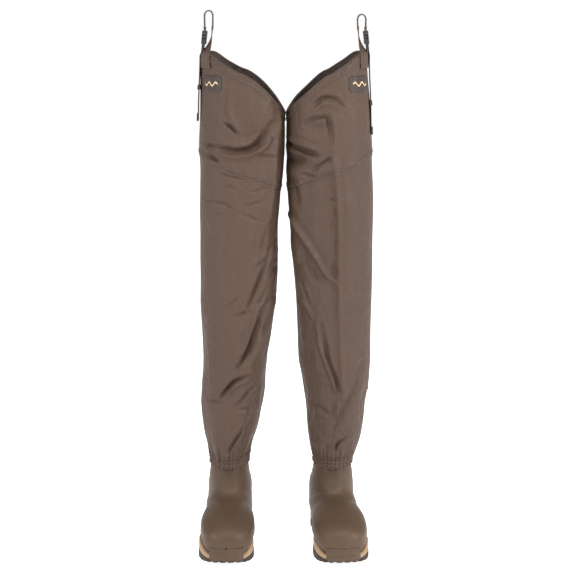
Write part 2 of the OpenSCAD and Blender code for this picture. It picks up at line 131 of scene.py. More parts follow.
LEFT_FOLDS = [
    (-4.5, 4.5, [(-0.38, 868), (-0.18, 881), (0.01, 883), (0.2, 878), (0.36, 864)]),
    (3, 6, [(-0.33, 859), (-0.14, 870), (0.05, 871), (0.24, 863)]),
    (-5, 4.5, [(-0.57, 832), (-0.4, 843), (-0.08, 847), (-0.01, 828), (0.03, 807)]),
    (-5, 18, [(-0.51, 822), (-0.13, 829)]),
    (3, 5, [(0.07, 856), (0.11, 822), (0.09, 784)]),
    (-8, 6, [(-0.94, 792), (-0.59, 782), (-0.28, 773)]),
    (-8, 14, [(-0.96, 760), (-0.59, 765)]),
    (4.5, 5, [(-0.91, 801), (-0.56, 793), (-0.28, 785)]),
    (-4.5, 4, [(-0.45, 746), (-0.12, 763), (0.03, 770)]),
    (3, 5, [(-0.36, 739), (0.02, 750)]),
    (5, 6, [(0.05, 784), (0.1, 751), (0.14, 708), (0.12, 651), (0.11, 574), (0.11, 515),
            (0.12, 437), (0.14, 368), (0.14, 298)]),
    (-3, 3.5, [(-0.72, 739), (-0.34, 734)]),
    (-5, 7, [(-0.88, 724), (-0.81, 680)]),
    (6.5, 5, [(-0.98, 653), (-0.77, 622), (-0.45, 578), (-0.23, 546), (0.06, 526)]),
    (-4.5, 9, [(-0.94, 620), (-0.66, 570), (-0.36, 531)]),
    (-3, 4, [(-0.84, 524), (-0.69, 486)]),
    (2.5, 4, [(-0.79, 490), (-0.58, 453)]),
    (-3, 4, [(-0.03, 692), (0.12, 685)]),
    (-2.5, 5, [(-0.05, 567), (0.04, 543)]),
    (-5, 5, [(-0.38, 445), (-0.25, 402), (-0.21, 372), (-0.05, 338), (0.06, 309)]),
    (4.5, 4.5, [(-0.46, 417), (-0.36, 387), (-0.21, 358), (-0.05, 310)]),
    (-4, 7, [(0.72, 366), (0.54, 324), (0.25, 277), (-0.19, 212)]),
    (3, 7, [(0.0, 295), (0.01, 255)]),
    (-3.5, 6, [(-0.83, 280), (-0.3, 261)]),
    (-4, 5, [(-0.85, 227), (-0.72, 197)]),
    (-5.5, 5, [(0.41, 213), (0.07, 198), (0.02, 183)]),
]


def smooth_table(table):
    """The table, resampled and eased so that it has no corners."""
    z = np.arange(table[0, 0], table[-1, 0] + 1, 2.0)
    v = np.interp(z, table[:, 0], table[:, 1])
    kernel = np.exp(-np.linspace(-2, 2, 17) ** 2)
    kernel /= kernel.sum()
    padded = np.concatenate([2 * v[0] - v[8:0:-1], v, 2 * v[-1] - v[-2:-10:-1]])
    return z, np.convolve(padded, kernel, mode="valid")


# How far the hang of each leg's inner and outer edge bulges over the plain profile.
INNER = {"left": [(150, 0), (250, -2), (320, -2.5), (380, 0), (960, 0)],
         "right": [(150, 0), (250, 2.5), (300, 4.5), (340, 3), (375, 0), (420, -2.5), (500, -2),
                   (560, 0), (960, 0)]}
OUTER = {"left": [(150, 0), (250, 2), (330, 2.5), (420, 1.5), (650, 1), (960, 0)],
         "right": [(150, 0), (250, 1), (320, 2), (400, 0.5), (960, 0)]}
PROFILES = {}
for s in ("left", "right"):
    (hz, hv), (mz, mv) = smooth_table(HALF[s]), smooth_table(MID[s])
    more_in = np.interp(hz, *np.array(INNER[s]).T)
    more_out = np.interp(hz, *np.array(OUTER[s]).T)
    PROFILES[s] = ((hz, hv + (more_in + more_out) / 2), (mz, mv + (more_out - more_in) / 2),
                   smooth_table(DEPTH))


def squared(v, p):
    return np.sign(v) * np.abs(v) ** p


def leg_point(side, z, angle, out):
    """Points on the leg in mm, outwards is +x. angle is in radians, 0 the outer side, pi/2 the back."""
    (hz, hv), (mz, mv), (dz, dv) = PROFILES[side]
    power = np.interp(z, [200, 700], [1.0, 0.8])
    x = np.interp(z, mz, mv) + (np.interp(z, hz, hv) + out) * squared(np.cos(angle), power)
    y = LEG_BACK + (np.interp(z, dz, dv) + out) * squared(np.sin(angle), power)
    return np.stack([x, y, z + 0 * x], -1)


def even_angles(side, z, n):
    """Angles that give even steps round the leg's section at height z."""
    a = np.linspace(0, 2 * math.pi, 2001)
    p = leg_point(side, np.full(a.shape, float(z)), a, 0.0)
    run = np.concatenate([[0], np.cumsum(np.linalg.norm(np.diff(p, axis=0), axis=1))])
    return np.interp(np.arange(n) * run[-1] / n, run, a)


def hem_z(side, a):
    t = np.cos(a)
    lift = 6.5 * np.exp(-((t - 0.72) / 0.25) ** 2)
    if side == "left":
        lift = lift - 7.0 * np.exp(-((t + 0.35) / 0.35) ** 2)
    return (HIP + CROTCH) / 2 + (HIP - CROTCH) / 2 * t + BOW * np.sin(a) ** 2 + lift


def seam_z(a):
    return SEAM + SEAM_RISE * np.cos(a)


def stroke(t, z, half, line, width, amp):
    """A ridge or crease along a curved line, fading at its ends."""
    p = np.array(line, float)
    k = np.linspace(0, len(p) - 1, 8 * (len(p) - 1) + 1)
    p = np.stack([np.interp(k, np.arange(len(p)), p[:, i]) for i in (0, 1)], 1)
    for _ in range(3):
        p[1:-1] = (p[:-2] + 2 * p[1:-1] + p[2:]) / 4
    lo, hi = p[:, 1].min() - 4 * width, p[:, 1].max() + 4 * width
    out = np.zeros(t.shape)
    near = (z > lo) & (z < hi)
    tt, zz, hh = t[near], z[near], half[near]
    best = np.full(tt.shape, 1e9)
    place = np.zeros(tt.shape)
    for i in range(len(p) - 1):
        ax, az = p[i, 0] * hh, p[i, 1]
        bx, bz = p[i + 1, 0] * hh, p[i + 1, 1]
        dx, dz = bx - ax, bz - az
        u = np.clip(((tt * hh - ax) * dx + (zz - az) * dz) / (dx * dx + dz * dz + 1e-9), 0, 1)
        d = np.hypot(tt * hh - ax - u * dx, zz - az - u * dz)
        closer = d < best
        best[closer] = d[closer]
        place[closer] = ((i + u) / (len(p) - 1))[closer]
    fade = np.sin(math.pi * np.clip(place * 0.86 + 0.07, 0, 1)) ** 0.6
    wide = 0.8 * width
    sharp = 0.5 * np.exp(-(best / wide) ** 2) + 0.5 * np.exp(-best / (0.7 * wide))
    shoulder = np.exp(-((best - 2.1 * wide) / wide) ** 2)
    out[near] = 1.45 * amp * (sharp - 0.18 * shoulder) * fade
    return out


def waves(a, z, side):
    """Slow unevenness of hanging fabric, different on each leg."""
    rng = np.random.RandomState(5 if side == "left" else 9)
    out = np.zeros(a.shape)
    for n, length, size in ((2, 260, 1.6), (3, 170, 1.3), (5, 90, 0.7), (8, 60, 0.45), (13, 38, 0.25)):
        for _ in range(2):
            ph = rng.uniform(0, 2 * math.pi, 2)
            out += size * np.sin(n * a + ph[0] + z / length) * np.sin(z / length * 2.1 + ph[1])
    return out


def back_folds(side):
    rng = np.random.RandomState(21 if side == "left" else 34)
    lines = []
    for _ in range(22):
        z = rng.uniform(230, 850)
        t = rng.uniform(-0.8, 0.8)
        run, drop = rng.uniform(0.15, 0.5) * rng.choice([-1, 1]), rng.uniform(-50, 30)
        lines.append((rng.uniform(-4.5, -2), rng.uniform(3.5, 6),
                      [(t, z), (t + run / 2, z + drop / 2 + rng.uniform(-8, 8)), (t + run, z + drop)]))
        lines.append((rng.uniform(1.5, 3.5), rng.uniform(5, 8),
                      [(t + 0.03, z - 9), (t + run / 2, z + drop / 2 - 11), (t + run, z + drop - 9)]))
    for k in range(5):
        z = 560 - 42 * k + rng.uniform(-8, 8)
        lines.append((-4.5, 5, [(-0.75, z + 12), (-0.2, z - 4), (0.3, z - 8), (0.75, z + 8)]))
        lines.append((3.0, 7, [(-0.7, z - 8), (-0.1, z - 22), (0.6, z - 12)]))
    return lines


FACETS = {"left": [(0.2, 250, 900, 5.0, 22.0), (-0.55, 420, 800, -2.0, 18.0)],
          "right": [(-0.72, 330, 800, 3.0, 14.0), (-0.1, 300, 560, 2.0, 22.0)]}
BACK = {s: back_folds(s) for s in ("left", "right")}
FRONT = {"left": LEFT_FOLDS, "right": RIGHT_FOLDS}


def pleats(side, a, z):
    """The gathers over the ankle, many at the cuff and fewer further up."""
    ph = 0.4 if side == "left" else 1.7
    run = np.interp(z, [CUFF, CUFF + 8, CUFF + 24, CUFF + 46, CUFF + 80], [1.0, 0.8, 1.0, 0.45, 0.0])
    fine = np.sin(31 * a + ph + 1.2 * np.sin(3 * a) + 0.02 * (z - CUFF))
    mid = np.sin(14 * a + 2 * ph + 1.5 * np.sin(2 * a + 1) + 0.012 * (z - CUFF))
    share = np.interp(z, [CUFF, CUFF + 20, CUFF + 60], [0.9, 0.6, 0.0])
    return run * (2.6 * share * fine + 3.0 * (1 - share) * mid)


def leg_shape(side, a, z):
    """How far the fabric stands out of its plain profile, in mm."""
    (hz, hv) = PROFILES[side][0]
    half = np.interp(z, hz, hv)
    power = np.interp(z, [200, 700], [1.0, 0.8])
    t = squared(np.cos(a), power)
    s = np.sin(a)
    front = np.clip(0.5 - s * 3, 0, 1)
    back = np.clip(0.5 + s * 3, 0, 1)
    out = np.zeros(a.shape)
    f = np.zeros(a.shape)
    for amp, width, line in FRONT[side]:
        f += stroke(t, z, half, line, width, amp)
    b = np.zeros(a.shape)
    for amp, width, line in BACK[side]:
        b += stroke(t, z, half, line, width, amp)
    out += f * front + b * back
    calm = np.interp(hem_z(side, a) - z, [0, 30], [0.15, 1.0])
    calm = calm * np.interp(z, [CUFF + 10, CUFF + 50], [0.2, 1.0])
    out = out * calm + waves(a, z, side) * calm
    out += pleats(side, a, z)
    # facets pressed into the fabric where it was folded flat
    for at, lo, hi, amp, width in FACETS[side]:
        d = np.abs(t - at) * half
        reach = np.clip((z - lo) / 60, 0, 1) * np.clip((hi - z) / 60, 0, 1)
        out += amp * np.exp(-(d / width) ** 1.1) * reach * front
    return out


# ---------------------------------------------------------------- meshes
def to_row(p, side):
    """From the outward frame in mm to the row frame in metres."""
    q = np.array(p, float)
    q[..., 0] = OUTWARD[side] * q[..., 0] + SHIFT[0]
    q[..., 1] += SHIFT[1]
    return q / 1000.0


def make_mesh(name, verts, faces, mat, flip=False, smooth=True):
    verts = np.asarray(verts, np.float32).reshape(-1, 3)
    me = bpy.data.meshes.new(name)
    me.vertices.add(len(verts))
    me.vertices.foreach_set("co", verts.ravel())
    faces = [f[::-1] for f in faces] if flip and not isinstance(faces, np.ndarray) else faces
    if isinstance(faces, np.ndarray):
        if flip:
            faces = faces[:, ::-1]
        n, k = faces.shape
        me.loops.add(n * k)
        me.loops.foreach_set("vertex_index", faces.astype(np.int32).ravel())
        me.polygons.add(n)
        me.polygons.foreach_set("loop_start", np.arange(0, n * k, k, dtype=np.int32))
    else:
        flat = np.array([v for f in faces for v in f], np.int32)
        starts = np.cumsum([0] + [len(f) for f in faces[:-1]]).astype(np.int32)
        me.loops.add(len(flat))
        me.loops.foreach_set("vertex_index", flat)
        me.polygons.add(len(faces))
        me.polygons.foreach_set("loop_start", starts)
    me.update(calc_edges=True)
    me.validate()
    me.polygons.foreach_set("use_smooth", np.full(len(me.polygons), smooth))
    ob = bpy.data.objects.new(name, me)
    bpy.context.scene.collection.objects.link(ob)
    ob.data.materials.append(mat)
    return ob


def wall_faces(m, n, closed=True):
    """Quads of a wall between two grids of m rows by n columns."""
    cols = n if closed else n - 1
    i, k = np.meshgrid(np.arange(cols), np.arange(m - 1))
    i, k = i.ravel(), k.ravel()
    j = (i + 1) % n
    g = m * n
    f = [np.stack([k * n + i, k * n + j, (k + 1) * n + j, (k + 1) * n + i], 1),
         np.stack([g + k * n + i, g + (k + 1) * n + i, g + (k + 1) * n + j, g + k * n + j], 1)]
    c = np.arange(cols)
    d = (c + 1) % n
    top = (m - 1) * n
    f.append(np.stack([top + c, top + d, g + top + d, g + top + c], 1))
    f.append(np.stack([c, g + c, g + d, d], 1))
    if not closed:
        r = np.arange(m - 1)
        f.append(np.stack([r * n, (r + 1) * n, g + (r + 1) * n, g + r * n], 1))
        e = r * n + n - 1
        f.append(np.stack([e, g + e, g + e + n, e + n], 1))
    return np.concatenate(f)


def wall(name, outer, inner, side, mat, closed=True):
    m, n = outer.shape[:2]
    v = np.concatenate([outer.reshape(-1, 3), inner.reshape(-1, 3)])
    return make_mesh(name, to_row(v, side), wall_faces(m, n, closed), mat, flip=side == "right")


def merge(name, parts, mat, smooth=True):
    """Several (verts in metres, faces) lists as one piece."""
    verts, faces, at = [], [], 0
    for v, f in parts:
        verts.append(np.asarray(v, float).reshape(-1, 3))
        faces += [tuple(int(x) + at for x in face) for face in f]
        at += len(verts[-1])
    return make_mesh(name, np.concatenate(verts), faces, mat, smooth=smooth)


def orient(parts):
    """Turns each shape's faces outward, judged by its signed volume."""
    out = []
    for v, f in parts:
        v = np.asarray(v, float).reshape(-1, 3)
        vol = 0.0
        for face in f:
            a = v[face[0]]
            for b, c in zip(face[1:-1], face[2:]):
                vol += np.dot(a, np.cross(v[b], v[c]))
        out.append((v, [tuple(x)[::-1] for x in f] if vol < 0 else f))
    return out


def slab(name, outer, inner, place, mat):
    """A closed solid between two open grids, its points put in the row by place."""
    m, n = outer.shape[:2]
    v = np.concatenate([outer.reshape(-1, 3), inner.reshape(-1, 3)])
    faces = [tuple(q) for q in wall_faces(m, n, False).tolist()]
    return merge(name, orient([(place(v), faces)]), mat)


def bevel(ob, width, segments=2, angle=35):
    b = ob.modifiers.new("edge", "BEVEL")
    b.width = width
    b.segments = segments
    b.limit_method = "ANGLE"
    b.angle_limit = math.radians(angle)
    b.harden_normals = False
    return ob


# ---------------------------------------------------------------- materials
def srgb(r, g, b):
    return tuple(((c / 255) / 12.92 if c / 255 <= 0.04045 else ((c / 255 + 0.055) / 1.055) ** 2.4)
                 for c in (r, g, b)) + (1.0,)


class Mat:
    def __init__(self, name, colour, rough, **sockets):
        self.m = bpy.data.materials.new(name)
        self.m.use_nodes = True
        self.n = self.m.node_tree.nodes
        self.b = self.n["Principled BSDF"]
        self.b.inputs["Base Color"].default_value = colour
        self.b.inputs["Roughness"].default_value = rough
        for k, v in sockets.items():
            self.b.inputs[k.replace("_", " ")].default_value = v
        self.coord = self.n.new("ShaderNodeTexCoord")
        self.height = None

    def link(self, a, b):
        self.m.node_tree.links.new(a, b)

    def node(self, kind, inputs=(), **props):
        x = self.n.new(kind)
        for k, v in props.items():
            setattr(x, k, v)
        for k, v in dict(inputs).items():
            if hasattr(v, "is_output"):
                self.link(v, x.inputs[k])
            else:
                x.inputs[k].default_value = v
        return x

    def noise(self, scale, detail=3, rough=0.5, stretch=(1, 1, 1), seed=0.0):
        mp = self.node("ShaderNodeMapping", {"Vector": self.coord.outputs["Object"], "Scale": stretch,
                                              "Location": (seed, seed * 0.7, 0)})
        return self.node("ShaderNodeTexNoise", {"Vector": mp.outputs[0], "Scale": scale, "Detail": detail,
                                                "Roughness": rough}).outputs["Fac"]

    def wave(self, scale, axis, distortion=0.0, profile="SIN"):
        return self.node("ShaderNodeTexWave", {"Vector": self.coord.outputs["Object"], "Scale": scale,
                                               "Distortion": distortion, "Detail": 1.0},
                         wave_type="BANDS", bands_direction=axis, wave_profile=profile).outputs["Fac"]

    def math(self, op, a, b):
        return self.node("ShaderNodeMath", {0: a, 1: b}, operation=op).outputs[0]

    def ramp(self, value, lo, hi, a, b):
        r = self.node("ShaderNodeMapRange", {"Value": value, "From Min": lo, "From Max": hi,
                                             "To Min": a, "To Max": b})
        return r.outputs[0]

    def tint(self, value, dark, light, lo=0.3, hi=0.7):
        r = self.node("ShaderNodeValToRGB", {"Fac": value})
        r.color_ramp.elements[0].position, r.color_ramp.elements[1].position = lo, hi
        r.color_ramp.elements[0].color, r.color_ramp.elements[1].color = dark, light
        return r.outputs[0]

    def mix(self, fac, a, b, mode="MIX"):
        x = self.node("ShaderNodeMix", {}, data_type="RGBA", blend_type=mode)
        for i, v in ((0, fac), (6, a), (7, b)):
            if hasattr(v, "is_output"):
                self.link(v, x.inputs[i])
            else:
                x.inputs[i].default_value = v
        return x.outputs[2]

    def base(self, colour):
        self.link(colour, self.b.inputs["Base Color"])
        return self

    def rough(self, value, lo, hi):
        self.link(self.ramp(value, 0.3, 0.7, lo, hi), self.b.inputs["Roughness"])
        return self

    def bump(self, *layers):
        normal = None
        for height, dist, strength in layers:
            inputs = {"Height": height, "Distance": dist, "Strength": strength}
            if normal is not None:
                inputs["Normal"] = normal
            normal = self.node("ShaderNodeBump", inputs).outputs[0]
        self.link(normal, self.b.inputs["Normal"])
        return self


def scaled(c, k):
    return (c[0] * k, c[1] * k, c[2] * k, 1.0)


def fabric_material(name, colour, rough=0.62):
    m = Mat(name, colour, rough, Sheen_Weight=0.1, Sheen_Roughness=0.4, Specular_IOR_Level=0.3)
    m.b.inputs["Sheen Tint"].default_value = scaled(colour, 2.2)
    big = m.noise(5, 3, seed=1.3)
    fine = m.noise(60, 4, seed=4.1)
    thread = m.noise(900, 2, stretch=(1, 1, 0.35), seed=2.0)
    c = m.tint(big, scaled(colour, 0.93), scaled(colour, 1.07))
    c = m.mix(0.35, c, m.tint(fine, scaled(colour, 0.86), scaled(colour, 1.12)))
    c = m.mix(0.22, c, m.tint(thread, scaled(colour, 0.7), scaled(colour, 1.35)))
    m.base(c)
    warp = m.math("MULTIPLY", m.wave(160, "X"), m.wave(160, "Z"))
    m.rough(fine, rough - 0.07, rough + 0.08)
    crease = m.noise(11, 4, 0.55, stretch=(1, 1, 0.55), seed=7.0)
    crease = m.math("ABSOLUTE", m.math("SUBTRACT", crease, 0.5), 0.0)
    crinkle = m.noise(26, 4, 0.6, stretch=(1, 1, 0.7), seed=3.0)
    crinkle = m.math("ABSOLUTE", m.math("SUBTRACT", crinkle, 0.5), 0.0)
    m.bump((crease, 0.03, 0.55), (crinkle, 0.012, 0.5), (m.noise(160, 4, 0.55), 0.0006, 0.35),
           (warp, 0.0002, 0.5))
    return m.m


def rubber_material(name, colour, rough=0.42, coat=0.12, grain=0.25):
    m = Mat(name, colour, rough, Specular_IOR_Level=0.24, Coat_Weight=coat, Coat_Roughness=0.28)
    big = m.noise(9, 4, seed=3.0)
    fine = m.noise(220, 3, seed=5.0)
    c = m.tint(big, scaled(colour, 0.88), scaled(colour, 1.12))
    c = m.mix(0.25, c, m.tint(fine, scaled(colour, 0.8), scaled(colour, 1.2)))
    m.base(c)
    m.rough(m.noise(24, 4, seed=8.0), rough - 0.08, rough + 0.1)
    m.bump((m.noise(60, 4, 0.6), 0.0008, grain), (m.noise(900, 2), 0.0001, grain))
    return m.m


def web_material(name, colour):
    m = Mat(name, colour, 0.7, Sheen_Weight=0.2, Sheen_Roughness=0.5)
    rib = m.math("MULTIPLY", m.wave(150, "Z", 0.4), m.wave(190, "Y", 0.4))
    m.base(m.mix(0.6, colour, m.tint(rib, scaled(colour, 0.6), scaled(colour, 1.4), 0.1, 0.8)))
    m.rough(m.noise(300, 3), 0.62, 0.82)
    m.bump((rib, 0.0005, 0.8), (m.noise(1200, 2), 0.0001, 0.3))
    return m.m


def plastic_material(name, colour, rough=0.4):
    m = Mat(name, colour, rough, Specular_IOR_Level=0.5)
    n = m.noise(500, 3)
    m.base(m.tint(m.noise(40, 2), scaled(colour, 0.85), scaled(colour, 1.2)))
    m.rough(m.noise(80, 3), rough - 0.06, rough + 0.1)
    m.bump((n, 0.00008, 0.4),)
    return m.m


BROWN = srgb(64, 48, 38)
M_FABRIC = fabric_material("leg_fabric", BROWN)
M_HEM = fabric_material("hem_fabric", scaled(BROWN, 0.97), 0.58)
M_DARK = fabric_material("lining_fabric", srgb(52, 43, 37), 0.7)
M_BOOT = rubber_material("boot_rubber", srgb(70, 54, 40), 0.55, 0.03, 0.3)
M_SOLE = rubber_material("sole_rubber", srgb(50, 40, 32), 0.66, 0.0, 0.5)
M_TAN = rubber_material("midsole_tan", srgb(138, 114, 88), 0.68, 0.0, 0.45)
M_WEB = web_material("webbing", srgb(50, 40, 33))
M_LOOP = web_material("loop_webbing", srgb(62, 48, 38))
M_PLASTIC = plastic_material("buckle_plastic", srgb(30, 26, 24))
M_LINER = fabric_material("liner_felt", srgb(62, 58, 55), 0.9)
M_BADGE = fabric_material("badge_dark", srgb(48, 39, 34), 0.5)
M_MARK = plastic_material("badge_mark", srgb(180, 156, 120), 0.5)
M_THREAD = web_material("thread", srgb(66, 54, 46))
M_ELASTIC = web_material("elastic", srgb(40, 35, 32))
M_STEEL = plastic_material("steel", srgb(150, 150, 150), 0.3)
M_STEEL.node_tree.nodes["Principled BSDF"].inputs["Metallic"].default_value = 1.0
M_BOARD = fabric_material("board", srgb(150, 125, 92), 0.85)

# ---------------------------------------------------------------- fabric legs
COLS = 230


def leg_rows(low, high, angles, count):
    share = np.linspace(0, 1, count)[:, None]
    z = low(angles)[None, :] * (1 - share) + high(angles)[None, :] * share
    a = np.repeat(angles[None, :], count, 0)
    return a, z


def surface(side, a, z, out):
    return leg_point(side, z, a, leg_shape(side, a, z) + out)


def dashes(side, a_of, z_of, count, out=1.6, size=0.55):
    """Stitches along a line round the leg, as short rounded threads."""
    k = np.linspace(0, 1, count, endpoint=False)
    a, z = a_of(k), z_of(k)
    p = surface(side, a, z, out)
    q = surface(side, a_of(k + 0.62 / count), z_of(k + 0.62 / count), out)
    parts = []
    mid = leg_middle(side, z)
    for b, e, c in zip(p, q, mid):
        run = e - b
        run = run / (np.linalg.norm(run) + 1e-9)
        up = b - c
        up = up - run * np.dot(up, run)
        up = up / (np.linalg.norm(up) + 1e-9)
        across = np.cross(run, up)
        ring = [(across * size, 0), (up * size * 0.8, 1), (-across * size, 0), (-up * size * 0.5, 1)]
        v = []
        for at, grow in ((b, 0.45), ((b + e) / 2 + up * 0.25, 1.0), (e, 0.45)):
            v += [at + r * grow for r, _ in ring]
        f = [(i + 4 * k2, (i + 1) % 4 + 4 * k2, (i + 1) % 4 + 4 * k2 + 4, i + 4 * k2 + 4)
             for k2 in (0, 1) for i in range(4)] + [(3, 2, 1, 0), (8, 9, 10, 11)]
        if side == "right":
            f = [x[::-1] for x in f]
        parts.append((to_row(np.array(v), side), f))
    return parts


def leg_middle(side, z):
    mz, mv = PROFILES[side][1]
    return np.stack([np.interp(z, mz, mv), np.full(z.shape, LEG_BACK), z], 1)


def lower_leg(side, ang):
    a, z = leg_rows(lambda x: CUFF + 14 + 0 * x, lambda x: seam_z(x) + 1.5, ang, 235)
    base = leg_shape(side, a, z)
    outer, inner = leg_point(side, z, a, base), leg_point(side, z, a, base - 1.9)
    low = wall(f"{side}_lower_leg_fabric", outer, inner, side, M_FABRIC)
    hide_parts(f"{side}_lower_leg")
    return low


def gathered_cuff(side, ang):
    """Two rows of elastic pinch the cuff, and its edge frills."""
    a, z = leg_rows(lambda x: CUFF + 1.2 * np.sin(17 * x + 1) - 1.5, lambda x: CUFF + 20 + 0 * x, ang, 26)
    pinch = -1.5 * np.exp(-((z - CUFF - 8) / 2.2) ** 2) - 1.9 * np.exp(-((z - CUFF - 15) / 2.2) ** 2)
    shape = pleats(side, a, z) * 0.72 + pinch + 1.0
    outer = leg_point(side, z, a, shape + 0.3)
    inner = leg_point(side, z, a, np.minimum(shape - 1.2, -0.9))
    cuff = wall(f"{side}_gathered_cuff", outer, inner, side, M_FABRIC)
    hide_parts(f"{side}_ankle_cuff")
    return cuff


def elastic_band(side):
    ang = even_angles(side, 160, 120)
    a, z = leg_rows(lambda x: CUFF + 4 + 0 * x, lambda x: CUFF + 16 + 0 * x, ang, 7)
    outer = leg_point(side, z, a, -1.6 + 0.25 * np.cos((z - CUFF) * 2))
    el = wall(f"{side}_elastic_band", outer, leg_point(side, z, a, -2.6 + 0 * z), side, M_ELASTIC)
    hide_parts(f"{side}_ankle_elastic")
    return el


def thigh_panel(side, ang):
    """The thigh's fabric, lapped over the lower leg."""
    a, z = leg_rows(lambda x: seam_z(x) - 5, lambda x: hem_z(side, x) - 0.6, ang, 105)
    base = leg_shape(side, a, z)
    lap = 0.9 + 0.5 * np.exp(-((z - seam_z(a) + 1) / 4.0) ** 2)
    outer, inner = leg_point(side, z, a, base + lap), leg_point(side, z, a, base + lap - 1.7)
    thigh = wall(f"{side}_thigh_fabric", outer, inner, side, M_FABRIC)
    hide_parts(f"{side}_thigh_panel")
    return thigh


def knee_tape(side, ang):
    a, z = leg_rows(lambda x: seam_z(x) - 11.5, lambda x: seam_z(x) - 4.4, ang, 8)
    r = np.linspace(-1, 1, 8)[:, None]
    base = leg_shape(side, a, z)
    tape = wall(f"{side}_knee_seam_tape", leg_point(side, z, a, base + 0.15 + 0.75 * (1 - r ** 2)),
                leg_point(side, z, a, base - 0.2), side, M_HEM)
    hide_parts(f"{side}_knee_seam")
    return tape


def stitches(side, name, edge, drops, count, out):
    """Rows of stitches round the leg, each at its own drop from an edge."""
    turn = 2 * math.pi
    parts = []
    for drop in drops:
        parts += dashes(side, lambda k: k * turn, lambda k: edge(k * turn) + drop, count, out=out)
    return merge(name, parts, M_THREAD)


def hem_band(side, ang):
    """The hem's band, puckered along its stitches, with a bound edge."""
    a, z = leg_rows(lambda x: hem_z(side, x) - 17, lambda x: hem_z(side, x) + 0.4, ang, 16)
    r = np.linspace(0, 1, 16)[:, None]
    base = leg_shape(side, a, z)
    pucker = 0.35 * np.sin(a * 74 + 3 * np.sin(a * 5)) * np.exp(-((r - 0.3) / 0.25) ** 2)
    edge = 1.1 * np.exp(-((r - 0.93) / 0.07) ** 2) - 0.35 * np.exp(-((r - 0.8) / 0.05) ** 2)
    foot = 0.9 * np.clip(r / 0.06, 0, 1)
    band = wall(f"{side}_hem_band", leg_point(side, z, a, base + 0.9 + foot + pucker + edge),
                leg_point(side, z, a, base + 0.7), side, M_HEM)
    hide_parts(f"{side}_hem_band")
    return band


def hem_facing(side, ang):
    a, z = leg_rows(lambda x: hem_z(side, x) - 26, lambda x: hem_z(side, x) + 0.4, ang, 12)
    r = np.linspace(0, 1, 12)[:, None]
    base = leg_shape(side, a, z)
    inner = leg_point(side, z, a, base - 2.1 - 0.5 * np.exp(-((r - 0.95) / 0.08) ** 2))
    facing = wall(f"{side}_hem_facing", leg_point(side, z, a, base - 0.9), inner, side, M_DARK)
    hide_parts(f"{side}_hem_facing")
    return facing


def build_leg(side):
    ang = even_angles(side, 500, COLS)
    low, cuff, el = lower_leg(side, ang), gathered_cuff(side, ang), elastic_band(side)
    thigh, tape = thigh_panel(side, ang), knee_tape(side, ang)
    st = stitches(side, f"{side}_knee_stitches", seam_z, (-2.0, 1.6), 118, 1.75)
    band, facing = hem_band(side, ang), hem_facing(side, ang)
    hs = stitches(side, f"{side}_hem_stitches", lambda x: hem_z(side, x), (-12.5, -4.4), 128, 2.3)
    for ob in (low, cuff, el, thigh, tape, st, band, facing, hs):
        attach(ob, "waders")
    return low, thigh


# ---------------------------------------------------------------- boots
SOLE_CENTRE = np.array([1.0, -65.0])


def outline(n=150):
    """The sole's outline, smooth, counter-clockwise from the toe, and its outward directions."""
    pts = [(p[1], p[0]) for p in SOLE_OUT] + [(-p[1], p[0]) for p in SOLE_IN[-2:0:-1]]
    p = np.array(pts, float)
    closed = np.concatenate([p, p[:1]])
    run = np.concatenate([[0], np.cumsum(np.linalg.norm(np.diff(closed, axis=0), axis=1))])
    u = np.linspace(0, run[-1], n, endpoint=False)
    q = np.stack([np.interp(u, run, closed[:, i]) for i in (0, 1)], 1)
    for _ in range(10):
        q = (np.roll(q, 1, 0) + 2 * q + np.roll(q, -1, 0)) / 4
    lo, hi = q[:, 1].min(), q[:, 1].max()
    q[:, 1] = -215 + (q[:, 1] - lo) * 300 / (hi - lo)
    along = np.roll(q, -1, 0) - np.roll(q, 1, 0)
    nrm = np.stack([along[:, 1], -along[:, 0]], 1)
    nrm /= np.linalg.norm(nrm, axis=1)[:, None]
    sign = np.sign(((q - SOLE_CENTRE) * nrm).sum(1))[:, None]
    return q, nrm * sign


def sole_ring(inset, z, n=150):
    q, nrm = outline(n)
    return np.column_stack([q - nrm * inset, np.full(n, float(z))])


def foot_frame(p, side):
    a = math.radians(TOE_OUT[side])
    x0 = np.interp(150, MID[side][:, 0], MID[side][:, 1])
    q = np.array(p, float)
    x, y = q[..., 0].copy(), q[..., 1].copy()
    q[..., 0] = x0 + x * math.cos(a) - y * math.sin(a)
    q[..., 1] = LEG_BACK + x * math.sin(a) + y * math.cos(a)
    return q


def foot_place(side):
    return lambda p: to_row(foot_frame(p, side), side)


def stack(rings, side):
    """A closed solid from stacked rings, capped with fans at both ends."""
    m, n = len(rings), len(rings[0])
    v = np.concatenate(list(rings) + [rings[0].mean(0)[None], rings[-1].mean(0)[None]])
    i, k = np.meshgrid(np.arange(n), np.arange(m - 1))
    i, k = i.ravel(), k.ravel()
    j = (i + 1) % n
    quads = np.stack([k * n + i, k * n + j, (k + 1) * n + j, (k + 1) * n + i], 1)
    c = np.arange(n)
    d = (c + 1) % n
    f = [tuple(q) for q in quads.tolist()]
    f += [(m * n, int(y), int(x)) for x, y in zip(c, d)]
    top = (m - 1) * n
    f += [(m * n + 1, top + int(x), top + int(y)) for x, y in zip(c, d)]
    return foot_place(side)(v), f


def midsole_top(y):
    """The tan band's top edge dips towards the toe."""
    s = np.clip((-y - 150) / 58, 0, 1)
    return 35.5 - 12.5 * (s * s * (3 - 2 * s))


def resample(rings, n):
    r = np.array(rings, float)
    run = np.concatenate([[0], np.cumsum(np.linalg.norm(np.diff(r[:, :4], axis=0), axis=1) + 1e-6)])
    u = np.linspace(0, run[-1], n)
    out = np.stack([np.interp(u, run, r[:, i]) for i in range(r.shape[1])], 1)
    for _ in range(9):
        out[1:-1] = (out[:-2] + 2 * out[1:-1] + out[2:]) / 4
    return out


